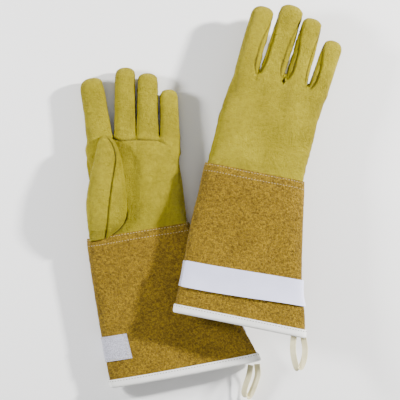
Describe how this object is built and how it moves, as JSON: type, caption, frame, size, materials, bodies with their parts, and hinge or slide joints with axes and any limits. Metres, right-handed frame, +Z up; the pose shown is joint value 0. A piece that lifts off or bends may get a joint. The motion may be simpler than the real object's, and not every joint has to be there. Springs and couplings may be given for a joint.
{
  "type": "welding gloves",
  "caption": "Pair of long-cuffed leather welding gloves lying crossed, with hook-and-loop wrist straps, bound hems and hanging loops.",
  "frame": {"origin": "on the surface that the gloves lie on, under the middle of the pair's bounding box", "axes": "+Z up from the surface, +Y towards the fingertips, +X to the right seen from above with the fingertips away from the viewer"},
  "size_m": [0.3156, 0.4774, 0.0685],
  "materials": {
    "grain_leather": "smooth grain, satin",
    "split_leather": "suede, matte",
    "lining": "brushed cotton, matte",
    "hem_tape": "woven tape, matte",
    "loop_tape": "woven tape, matte",
    "strap_fabric": "smooth woven backing, matte",
    "hook_fabric": "hook pile, matte"
  },
  "bodies": {
    "left_glove": {"left_back_panel": "grain_leather", "left_palm_panel": "grain_leather", "left_hand_lining": "lining", "left_cuff": "split_leather", "left_cuff_lining": "lining", "left_hem_binding": "hem_tape", "left_hook_patch": "hook_fabric"},
    "left_index_finger": {"left_index_back": "grain_leather", "left_index_front": "grain_leather", "left_index_sides": "grain_leather"},
    "left_middle_finger": {"left_middle_back": "grain_leather", "left_middle_front": "grain_leather", "left_middle_sides": "grain_leather"},
    "left_ring_finger": {"left_ring_back": "grain_leather", "left_ring_front": "grain_leather", "left_ring_sides": "grain_leather"},
    "left_little_finger": {"left_little_back": "grain_leather", "left_little_front": "grain_leather", "left_little_sides": "grain_leather"},
    "left_thumb": {"left_thumb_outer": "grain_leather", "left_thumb_inner": "grain_leather"},
    "left_strap": {"left_closure_strap": "strap_fabric"},
    "left_loop": {"left_hanging_loop": "loop_tape"},
    "right_glove": {"right_back_panel": "grain_leather", "right_palm_panel": "grain_leather", "right_hand_lining": "lining", "right_cuff": "split_leather", "right_cuff_lining": "lining", "right_hem_binding": "hem_tape", "right_hook_patch": "hook_fabric"},
    "right_index_finger": {"right_index_back": "grain_leather", "right_index_front": "grain_leather", "right_index_sides": "grain_leather"},
    "right_middle_finger": {"right_middle_back": "grain_leather", "right_middle_front": "grain_leather", "right_middle_sides": "grain_leather"},
    "right_ring_finger": {"right_ring_back": "grain_leather", "right_ring_front": "grain_leather", "right_ring_sides": "grain_leather"},
    "right_little_finger": {"right_little_back": "grain_leather", "right_little_front": "grain_leather", "right_little_sides": "grain_leather"},
    "right_thumb": {"right_thumb_outer": "grain_leather", "right_thumb_inner": "grain_leather"},
    "right_strap": {"right_closure_strap": "strap_fabric"},
    "right_loop": {"right_hanging_loop": "loop_tape"}
  },
  "joints": [
    {"name": "left_index_flex", "type": "hinge", "parent": "left_glove", "child": "left_index_finger", "pos_m": [-0.13624, 0.08674, 0.02435], "axis": [0.9866, 0.1633, 0], "range_deg": [0, 60]},
    {"name": "left_middle_flex", "type": "hinge", "parent": "left_glove", "child": "left_middle_finger", "pos_m": [-0.10434, 0.08934, 0.02435], "axis": [1, 0, 0], "range_deg": [0, 60]},
    {"name": "left_ring_flex", "type": "hinge", "parent": "left_glove", "child": "left_ring_finger", "pos_m": [-0.07697, 0.08931, 0.02435], "axis": [1, 0, 0], "range_deg": [0, 60]},
    {"name": "left_little_flex", "type": "hinge", "parent": "left_glove", "child": "left_little_finger", "pos_m": [-0.04991, 0.09081, 0.02435], "axis": [0.9991, 0.0419, 0], "range_deg": [0, 60]},
    {"name": "left_thumb_swing", "type": "hinge", "parent": "left_glove", "child": "left_thumb", "pos_m": [-0.14374, -0.03816, 0.02745], "axis": [0, 0, 1], "range_deg": [0, 30]},
    {"name": "left_strap_open", "type": "hinge", "parent": "left_glove", "child": "left_strap", "pos_m": [0.02976, -0.15236, 0.00158], "axis": [0.1633, -0.9866, 0], "range_deg": [0, 180]},
    {"name": "left_loop_swing", "type": "hinge", "parent": "left_glove", "child": "left_loop", "pos_m": [0.05257, -0.20149, 0.0139], "axis": [-0.972, 0.2351, 0], "range_deg": [0, 70]},
    {"name": "right_index_flex", "type": "hinge", "parent": "right_glove", "child": "right_index_finger", "pos_m": [0.04696, 0.16934, 0.02588], "axis": [-0.9632, 0.2688, -0.0036], "range_deg": [0, 60]},
    {"name": "right_middle_flex", "type": "hinge", "parent": "right_glove", "child": "right_middle_finger", "pos_m": [0.07733, 0.16436, 0.02584], "axis": [-0.9511, 0.3089, -0.0055], "range_deg": [0, 60]},
    {"name": "right_ring_flex", "type": "hinge", "parent": "right_glove", "child": "right_ring_finger", "pos_m": [0.10677, 0.15609, 0.02595], "axis": [-0.9646, 0.2638, -0.0033], "range_deg": [0, 60]},
    {"name": "right_little_flex", "type": "hinge", "parent": "right_glove", "child": "right_little_finger", "pos_m": [0.13306, 0.14271, 0.02631], "axis": [-0.9467, 0.3221, -0.0061], "range_deg": [0, 60]},
    {"name": "right_thumb_swing", "type": "hinge", "parent": "right_glove", "child": "right_thumb", "pos_m": [0.00115, 0.05199, 0.0284], "axis": [0.0087, 0.0445, 0.999], "range_deg": [0, 30]},
    {"name": "right_strap_open", "type": "hinge", "parent": "right_glove", "child": "right_strap", "pos_m": [0.10656, -0.11103, 0.06064], "axis": [0.1923, 0.9803, -0.0454], "range_deg": [0, 180]},
    {"name": "right_loop_swing", "type": "hinge", "parent": "right_glove", "child": "right_loop", "pos_m": [0.10689, -0.16481, 0.05071], "axis": [-0.9946, -0.1025, 0.0133], "range_deg": [0, 30]},
    {"name": "lift_right_glove", "type": "slide", "parent": "left_glove", "child": "right_glove", "axis": [0, 0, 1], "range_m": [0, 0.12]}
  ]
}
